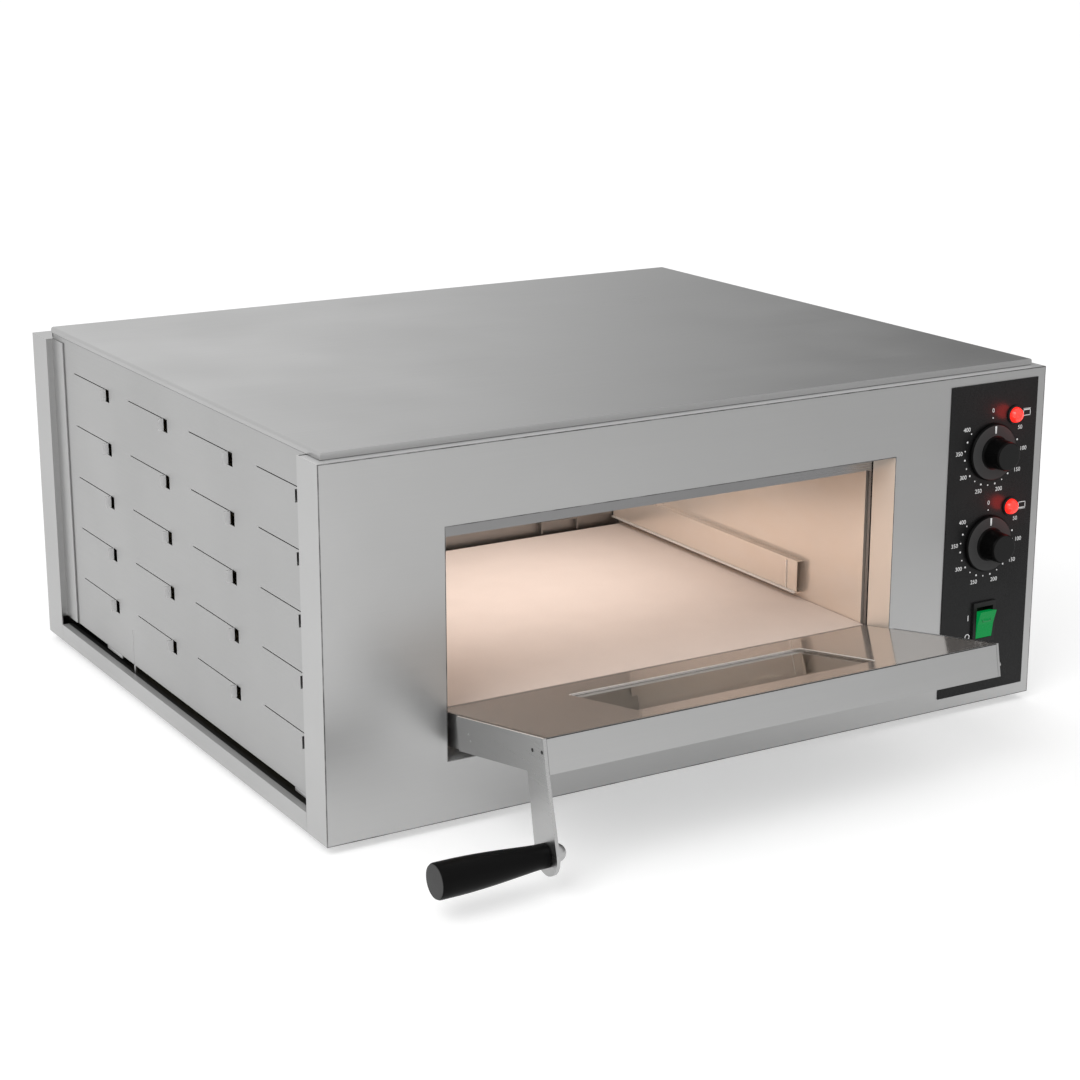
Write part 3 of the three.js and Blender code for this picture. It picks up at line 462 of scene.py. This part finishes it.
def turned(work, profile, centre, axis, steps=64):
    """A closed turned form: profile holds (radius, distance along the axis) from axis to axis."""
    turn = Vector((0, 0, 1)).rotation_difference(Vector(axis)).to_matrix().to_4x4()
    place = Matrix.Translation(centre) @ turn
    rings = []
    for radius, along in profile:
        if radius <= 0:
            rings.append([work.verts.new(place @ Vector((0, 0, along)))])
            continue
        ring = []
        for i in range(steps):
            angle = 2 * math.pi * i / steps
            spot = Vector((radius * math.cos(angle), radius * math.sin(angle), along))
            ring.append(work.verts.new(place @ spot))
        rings.append(ring)
    for a, b in zip(rings, rings[1:]):
        for i in range(steps):
            j = (i + 1) % steps
            corners = [a[i % len(a)], a[j % len(a)], b[j % len(b)], b[i % len(b)]]
            face = list(dict.fromkeys(corners))
            if len(face) > 2:
                work.faces.new(face)


def rounded(profile, radius, steps=4):
    """The profile with its inner corners rounded off."""
    points = [profile[0]]
    for before, corner, after in zip(profile, profile[1:], profile[2:]):
        p, c, n = (Vector(v) for v in (before, corner, after))
        reach = min(radius, (p - c).length * 0.45, (n - c).length * 0.45)
        start, end = c + (p - c).normalized() * reach, c + (n - c).normalized() * reach
        for i in range(steps + 1):
            t = i / steps
            points.append(tuple(start * (1 - t) ** 2 + c * 2 * t * (1 - t) + end * t * t))
    points.append(profile[-1])
    return points


def box_into(work, low, high, soft=0.0, turn=None):
    """A block between two corners; soft rounds its edges, and turn is applied last."""
    low, high = Vector(low), Vector(high)
    size = high - low
    place = Matrix.Translation((low + high) / 2) @ Matrix.Diagonal((*size, 1))
    made = bmesh.ops.create_cube(work, size=1.0, matrix=place)["verts"]
    if soft:
        edges = list({e for v in made for e in v.link_edges})
        made = bmesh.ops.bevel(work, geom=edges, offset=soft, segments=2, affect="EDGES",
                               profile=0.5)["verts"]
    if turn:
        bmesh.ops.transform(work, matrix=turn, verts=list(set(made)))


# ---------------------------------------------------------------- controls
LEVELS = ("upper", "lower")
DOT_RING, DOT_START, DOT_STEP, DOT_COUNT = 0.0415, 60, 15.5, 17
FIGURE_RING, FIGURE_SIZE = 0.0505, 0.0072
PRINT_RISE, PRINT_ROOT = 0.00006, 0.0001
ICON_WIDTH, ICON_HEIGHT, ICON_LINE = 0.0115, 0.0088, 0.0008
# Each figure of the dial, and its place in degrees clockwise from the top.
DIAL_MARKS = [(0, "0"), (60, "50"), (92, "100"), (123, "150"), (163, "200"), (200, "250"), (237, "300"),
              (273, "350"), (308, "400")]


def knob(level):
    """The skirted knob, and the pointer line moulded into its skirt."""
    node = f"{level}_knob"
    low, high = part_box(node)
    centre = Vector((middle(node).x, high.y, middle(node).z))
    depth = high.y - low.y
    work = bmesh.new()
    profile = [(0, 0), (0.0342, 0), (0.0354, 0.0008), (0.0350, 0.0038), (0.0335, 0.0054), (0.0212, 0.0060),
               (0.0192, 0.0074), (0.0186, 0.0090), (0.0178, depth - 0.0022), (0.0166, depth - 0.0004),
               (0.0150, depth), (0, depth)]
    turned(work, rounded(profile, 0.0007), centre, (0, -1, 0), 96)
    body = f"{level}_knob_body"
    add(f"{level}_knob_moulding", mesh_from("knob", work), KNOB, body, node)
    work = bmesh.new()
    face, half_width, inner_end, outer_end = centre.y - 0.0056, 0.0011, 0.0235, 0.0325
    box_into(work, (centre.x - half_width, face - 0.0006, centre.z + inner_end),
             (centre.x + half_width, face + 0.0012, centre.z + outer_end), 0.0003)
    add(f"{level}_knob_pointer", mesh_from("pointer", work), PRINT, body)


def lettering(name, words, size, centre):
    """Flat raised figures on the overlay, centred on a point of its face."""
    curve = bpy.data.curves.new(name, "FONT")
    curve.body = words
    curve.size = size
    curve.align_x = "CENTER"
    curve.align_y = "CENTER"
    curve.extrude = 0.00004
    source = bpy.data.objects.new(name, curve)
    bpy.context.scene.collection.objects.link(source)
    source.matrix_world = Matrix.Translation(centre) @ Matrix.Rotation(math.pi / 2, 4, "X")
    bpy.context.view_layer.update()
    mesh = bpy.data.meshes.new_from_object(source.evaluated_get(bpy.context.evaluated_depsgraph_get()))
    mesh.transform(source.matrix_world)
    bpy.data.objects.remove(source)
    return mesh


def dial(level):
    """Dots and figures around one knob."""
    knob_at = middle(f"{level}_knob")
    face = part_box("control_overlay")[0].y
    work = bmesh.new()

    def around(radius, degrees):
        angle = math.radians(degrees)
        return Vector((knob_at.x + radius * math.sin(angle), face, knob_at.z + radius * math.cos(angle)))

    for i in range(DOT_COUNT):
        size = 0.0012 if i % 2 else 0.0009
        dot = [(0, -PRINT_ROOT), (size, -PRINT_ROOT), (size, PRINT_RISE), (0, PRINT_RISE)]
        turned(work, dot, around(DOT_RING, DOT_START + i * DOT_STEP if i else 0), (0, -1, 0), 16)
    for degrees, words in DIAL_MARKS:
        figures = lettering("figures", words, FIGURE_SIZE, around(FIGURE_RING, degrees))
        work.from_mesh(figures)
        bpy.data.meshes.remove(figures)
    add(f"{level}_dial_print", mesh_from("dial", work), PRINT, "oven_body")


def outline(half_width, half_height, line):
    """The four bars of a rectangle drawn with lines, each from a low to a high corner, as (x, z)."""
    w, h = half_width, half_height
    return [((-w, h - line), (w, h)), ((-w, -h), (w, line - h)), ((-w, -h), (line - w, h)),
            ((w - line, -h), (w, h))]


def panel_icons():
    """Beside each lamp, an oven outline with a thick bar on its heated side; the switch's I and O."""
    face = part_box("control_overlay")[0].y
    front, back = face - PRINT_RISE, face + PRINT_ROOT
    work = bmesh.new()
    for level, side in (("upper", 1), ("lower", -1)):
        lens = middle(f"{level}_lamp_lens")
        x, z = lens.x + 0.0195, lens.z + side * 0.0012
        bar = side * 0.0036
        heated = ((-0.0058, bar - 0.0012), (0.0058, bar + 0.0012))
        for low, high in [*outline(ICON_WIDTH / 2, ICON_HEIGHT / 2, ICON_LINE), heated]:
            box_into(work, (x + low[0], front, z + low[1]), (x + high[0], back, z + high[1]))
    switch = middle("switch_housing")
    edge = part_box("switch_housing")[0].x
    for words, rise in (("I", 0.0072), ("O", -0.017)):
        mark = lettering("mark", words, 0.0105, Vector((edge - 0.0062, face, switch.z + rise)))
        work.from_mesh(mark)
        bpy.data.meshes.remove(mark)
    add("panel_icons", mesh_from("icons", work), PRINT, "oven_body")


def lamp(level):
    """The lens as a dome on a stem that fits its holder."""
    node = f"{level}_lamp_lens"
    low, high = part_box(node)
    centre = Vector((middle(node).x, low.y, middle(node).z))
    radius, stem = 0.0096, 0.0042
    angles = [math.pi / 2 * i / 10 for i in range(11)]
    dome = [(radius * math.sin(a), -radius * (1 - math.cos(a))) for a in angles]
    profile = dome + [(stem, -radius), (stem, low.y - high.y), (0, low.y - high.y)]
    work = bmesh.new()
    turned(work, profile, centre, (0, -1, 0), 48)
    add(f"{level}_lamp_dome", mesh_from("dome", work), RED, "oven_body", node)


def rocker_mark():
    """The raised outline on the rocker's upper flat."""
    centre = middle("switch_rocker")
    lean = math.radians(-19)
    face = Vector((centre.x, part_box("switch_rocker")[0].y + 0.0030, centre.z + 0.0065))
    turn = Matrix.Translation(face) @ Matrix.Rotation(lean, 4, "X")
    work = bmesh.new()
    for low, high in outline(0.0068, 0.0026, 0.0008):
        box_into(work, (low[0], -0.0003, low[1]), (high[0], 0.0006, high[1]), 0.0001, turn)
    add("rocker_mark", mesh_from("mark", work), GREEN_PRINT, "rocker")


# ---------------------------------------------------------------- door details
def door_point(x, y, z):
    """A point of the shut door, about its pins, moved to where the open door holds it."""
    c, s = math.cos(DOOR_TILT), math.sin(DOOR_TILT)
    return Vector((x, HINGE[1] + y * c - z * s, HINGE[2] + y * s + z * c))


def grip():
    """The handle's tapered body, thickest at its free end, and the cap set into that end."""
    low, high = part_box("handle_grip")
    centre = Vector((high.x, middle("handle_grip").y, middle("handle_grip").z))
    length = high.x - low.x
    small, big = 0.0131, (high.z - low.z) / 2
    neck, end, steps = 0.012, 0.014, 16
    profile = [(0, 0), (small - 0.0007, 0), (small - 0.0001, 0.0008), (small, neck)]
    for i in range(1, steps + 1):
        t = i / steps
        swell = small + (big - small) * math.sin(t * math.pi / 2) ** 1.1
        profile.append((swell, neck + (length - neck - end) * t))
    profile += [(big, length - 0.0018), (big - 0.0008, length), (0, length)]
    work = bmesh.new()
    turned(work, profile, centre, (-1, 0, 0), 72)
    add("grip_moulding", mesh_from("grip", work), GRIP, "door", "handle_grip")
    cap = [(0, 0.0004), (big - 0.0016, 0.0004), (big - 0.0012, 0), (big - 0.0012, -0.0006), (0, -0.0006)]
    work = bmesh.new()
    turned(work, cap, Vector((low.x, centre.y, centre.z)), (1, 0, 0), 64)
    add("grip_end_cap", mesh_from("cap", work), GRIP_CAP, "door")


def bolt():
    """Washer and domed socket head on the inner side of the lever, with its shank in the grip."""
    low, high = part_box("handle_bolt")
    axis = middle("handle_bolt")
    start = Vector((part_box("door_lever_plate")[1].x + 0.0003, axis.y, axis.z))
    washer, shank, dome, tall = 0.0115, 0.004, 0.0102, high.x - start.x
    tip = low.x - start.x + 0.0002
    work = bmesh.new()
    turned(work, rounded([(0, 0), (washer, 0), (washer, 0.002), (0, 0.002)], 0.0005), start, (1, 0, 0))
    head = [(0, 0.0018), (dome, 0.0018), (dome, tall * 0.45), (dome * 0.9, tall * 0.7),
            (dome * 0.7, tall * 0.88), (dome * 0.42, tall), (dome * 0.34, tall), (dome * 0.34, tall * 0.6),
            (0, tall * 0.6)]
    turned(work, head, start, (1, 0, 0), 48)
    turned(work, [(0, 0), (shank, 0), (shank, tip), (0, tip)], start, (1, 0, 0))
    add("handle_bolt_head", mesh_from("bolt", work), LEVER_STEEL, "door", "handle_bolt")


def screw_heads(name, spots, axis, radius, rise, look):
    """Small raised heads with a dimple, one at each spot."""
    work = bmesh.new()
    for spot in spots:
        profile = [(0, -0.0004), (radius, -0.0004), (radius, rise * 0.3), (radius * 0.75, rise * 0.85),
                   (radius * 0.4, rise), (radius * 0.36, rise * 0.35), (0, rise * 0.3)]
        turned(work, profile, spot, axis, 24)
    add(name, mesh_from(name, work), look, "door")


def door_fasteners():
    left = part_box("door_lever_plate")[0].x
    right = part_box("door_right_plate")[1].x
    rivets = [door_point(left, 0.0024, z) for z in (0.2045, 0.2235)]
    lever_screws = [door_point(left, y, z) for y, z in ((0.0002, 0.068), (-0.0068, 0.0715))]
    end_screws = [door_point(right, y, z) for y, z in ((-0.0075, 0.2238), (0.006, 0.2100))]
    screw_heads("lever_rivets", rivets, (-1, 0, 0), 0.0021, 0.0006, DARK)
    screw_heads("lever_screws", lever_screws, (-1, 0, 0), 0.0016, 0.0005, LEVER_STEEL)
    screw_heads("end_plate_screws", end_screws, (1, 0, 0), 0.0034, 0.0034, LEVER_STEEL)


def door_rims():
    """Painted highlights: bright strips along the left end plate and the window, and the dark seam of the
    free edge.
    """
    pivot = Vector((0, HINGE[1], HINGE[2]))
    open_door = Matrix.Translation(pivot) @ Matrix.Rotation(DOOR_TILT, 4, "X")
    plate_left, plate_right = (corner.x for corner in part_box("door_lever_plate"))
    window_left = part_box("door_window_frame")[0].x + WINDOW_LAP
    window_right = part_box("door_window_frame")[1].x - WINDOW_LAP
    lift, top, soft = DOOR_INNER + 0.0001, DOOR_INNER + 0.0005, 0.0001

    # Painted highlight strips along the lever plate's edge and the window's edges.
    work = bmesh.new()
    box_into(work, (plate_left + 0.0002, lift, PLATE_FOOT), (plate_left + 0.0014, top, DOOR_TOP - 0.0002),
             soft, open_door)
    add("lever_plate_rim", mesh_from("rim", work), HIGHLIGHT_STRIP, "door")

    work = bmesh.new()
    box_into(work, (window_left, lift, WINDOW_LOW - 0.0016), (window_right, top, WINDOW_LOW - 0.0002),
             soft, open_door)
    box_into(work, (window_right + 0.0002, lift, WINDOW_LOW - 0.0016),
             (window_right + 0.0022, top, WINDOW_HIGH), soft, open_door)
    add("window_rim", mesh_from("window_rim", work), HIGHLIGHT_STRIP, "door")

    work = bmesh.new()
    box_into(work, (plate_right, DOOR_INNER - 0.0012, DOOR_TOP + 0.0001),
             (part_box("door_right_plate")[0].x, DOOR_INNER - 0.0002, DOOR_TOP + 0.0003), 0.0, open_door)
    add("door_edge_seam", mesh_from("seam", work), DARK, "door")


# ---------------------------------------------------------------- casing details
# Along each rail: how far behind the front a spacer starts, its length, and the gap under it.
SPACERS = ((0.0560, 0.045, 0.0062), (0.6200, 0.052, 0.0062), (0.5755, 0.0035, 0.0002))


def rail_spacers():
    """Light spacers that hold the louvred sheets off the base rails."""
    inner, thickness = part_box("base_tray")[1].x - 0.0135, 0.0030
    ledge, top = BASE + 0.0225, BASE + 0.0333
    work = bmesh.new()
    for side in (-1, 1):
        x0, x1 = sorted((side * inner, side * (inner + thickness)))
        for start, length, foot in SPACERS:
            box_into(work, (x0, FRONT + start, ledge + foot), (x1, FRONT + start + length, top), 0.0004)
    add("rail_spacers", mesh_from("spacers", work), SHEET_Y, "oven_body")


def guard_foot():
    """The turned-in foot along the bottom of the wall guard, and the fold near its end, both painted bright
    as highlights.
    """
    low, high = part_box("wall_guard")
    face = low.x - 0.0003
    work = bmesh.new()
    box_into(work, (low.x - 0.0035, low.y + 0.001, low.z + 0.0002), (face, high.y - 0.001, low.z + 0.0022),
             0.0004)
    box_into(work, (low.x - 0.0012, low.y + 0.020, low.z + 0.003), (face, low.y + 0.0212, high.z - 0.003),
             0.0002)
    # Painted highlight on the guard's foot and fold.
    add("guard_foot", mesh_from("foot", work), HIGHLIGHT_STRIP, "oven_body")


# ---------------------------------------------------------------- stage
DARK_SIDE = Vector((0.93, 0.36, 0.05)).normalized()
FLOOR_GLOW = 0.42
FLOOR_HALF = 30.0
LAMP_GLOW, GLOW_SIZE = 0.03, 0.009
WALL_LEVELS = ((0.66, 1.02), (0.93, 0.05))


def camera():
    data = bpy.data.cameras.new("camera")
    data.lens = 78.03
    data.sensor_width = 36.0
    eye = bpy.data.objects.new("camera", data)
    eye.location = (-1.4641, FRONT - 2.0849, BASE + 0.9869)
    eye.rotation_euler = (math.radians(90 - 15.8), 0, -math.radians(30.7))
    bpy.context.scene.collection.objects.link(eye)
    bpy.context.scene.camera = eye


def area_light(name, place, aim, size, power, glossy=True, colour=(1, 1, 1)):
    data = bpy.data.lights.new(name, "AREA")
    data.shape = "RECTANGLE"
    data.size, data.size_y = size
    data.energy = power
    data.color = colour
    lamp_object = bpy.data.objects.new(name, data)
    lamp_object.location = place
    lamp_object.rotation_euler = (Vector(aim) - Vector(place)).to_track_quat("-Z", "Y").to_euler()
    lamp_object.visible_glossy = glossy
    bpy.context.scene.collection.objects.link(lamp_object)


def studio_walls(tree):
    """A pale studio that is darker towards the right-hand back wall."""
    background = tree.nodes["Background"]
    coords = tree.nodes.new("ShaderNodeTexCoord")
    toward = tree.nodes.new("ShaderNodeVectorMath")
    toward.operation = "DOT_PRODUCT"
    toward.inputs[1].default_value = DARK_SIDE
    ramp = tree.nodes.new("ShaderNodeValToRGB")
    ramp.color_ramp.interpolation = "EASE"
    for stop, (place, level) in zip(ramp.color_ramp.elements, WALL_LEVELS):
        stop.position = place
        stop.color = (level, level, level, 1)
    tree.links.new(coords.outputs["Generated"], toward.inputs[0])
    tree.links.new(toward.outputs["Value"], ramp.inputs["Fac"])
    tree.links.new(ramp.outputs["Color"], background.inputs["Color"])
    background.inputs["Strength"].default_value = 1.0


def lamp_glow(level):
    """The red light that a lit lamp throws on the panel and the knobs around it."""
    data = bpy.data.lights.new(f"{level}_lamp_glow", "POINT")
    data.energy = LAMP_GLOW
    data.color = (1.0, 0.02, 0.01)
    data.shadow_soft_size = GLOW_SIZE
    glow = bpy.data.objects.new(f"{level}_lamp_glow", data)
    centre = middle(f"{level}_lamp_lens")
    glow.location = (centre.x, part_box(f"{level}_lamp_lens")[0].y - GLOW_SIZE, centre.z)
    glow.visible_camera = False
    bpy.context.scene.collection.objects.link(glow)
    lit = bpy.data.collections.new(f"{level}_lamp_lit")
    lit.objects.link(NODES["control_overlay"])
    for each in LEVELS:
        lit.objects.link(bpy.data.objects[f"{each}_knob_moulding"])
    glow.light_linking.receiver_collection = lit


def pale_floor():
    """A floor that glows a little, less and less towards the front right."""
    work = bmesh.new()
    bmesh.ops.create_grid(work, x_segments=2, y_segments=2, size=FLOOR_HALF)
    mesh = mesh_from("floor", work)
    floor = bpy.data.objects.new("floor", mesh)
    bpy.context.scene.collection.objects.link(floor)
    look = Look("pale_floor", (0.62, 0.62, 0.62), 0.8)
    look.set("Emission Color", (1, 1, 1, 1))
    to_right = look.remap(look.axis("X"), 0.2, 0.9, 0.0, 1.0)
    to_front = look.remap(look.axis("Y"), -0.4, -0.9, 0.0, 1.0)
    glow = look.remap(look.math("MULTIPLY", to_right, to_front), 0.0, 1.0, FLOOR_GLOW, 0.0)
    look.link(glow, look.shader.inputs["Emission Strength"])
    mesh.materials.append(look.material)


def stage():
    """The studio, its soft key light, a light inside the chamber and the glow of the two lamps."""
    world = bpy.data.worlds.new("studio")
    world.use_nodes = True
    studio_walls(world.node_tree)
    bpy.context.scene.world = world
    bpy.context.scene.view_settings.view_transform = "Standard"
    pale_floor()
    area_light("key", (-2.6, -1.8, 2.6), (-0.6, -0.4, 0), (2.0, 2.0), 60)
    stone = middle("baking_stone")
    above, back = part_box("chamber_front_frame")[1].z - 0.05, stone.y + 0.10
    area_light("chamber_light", (stone.x, back, above), (stone.x, back, 0), (0.5, 0.42), 1.25, False,
               (1.0, 0.98, 0.965))
    for level in LEVELS:
        lamp_glow(level)


# ---------------------------------------------------------------- build
camera()
dress_cad_nodes()
for level in LEVELS:
    knob(level)
    dial(level)
    lamp(level)
panel_icons()
grip()
bolt()
door_fasteners()
door_rims()
rocker_mark()
rail_spacers()
guard_foot()
stage()
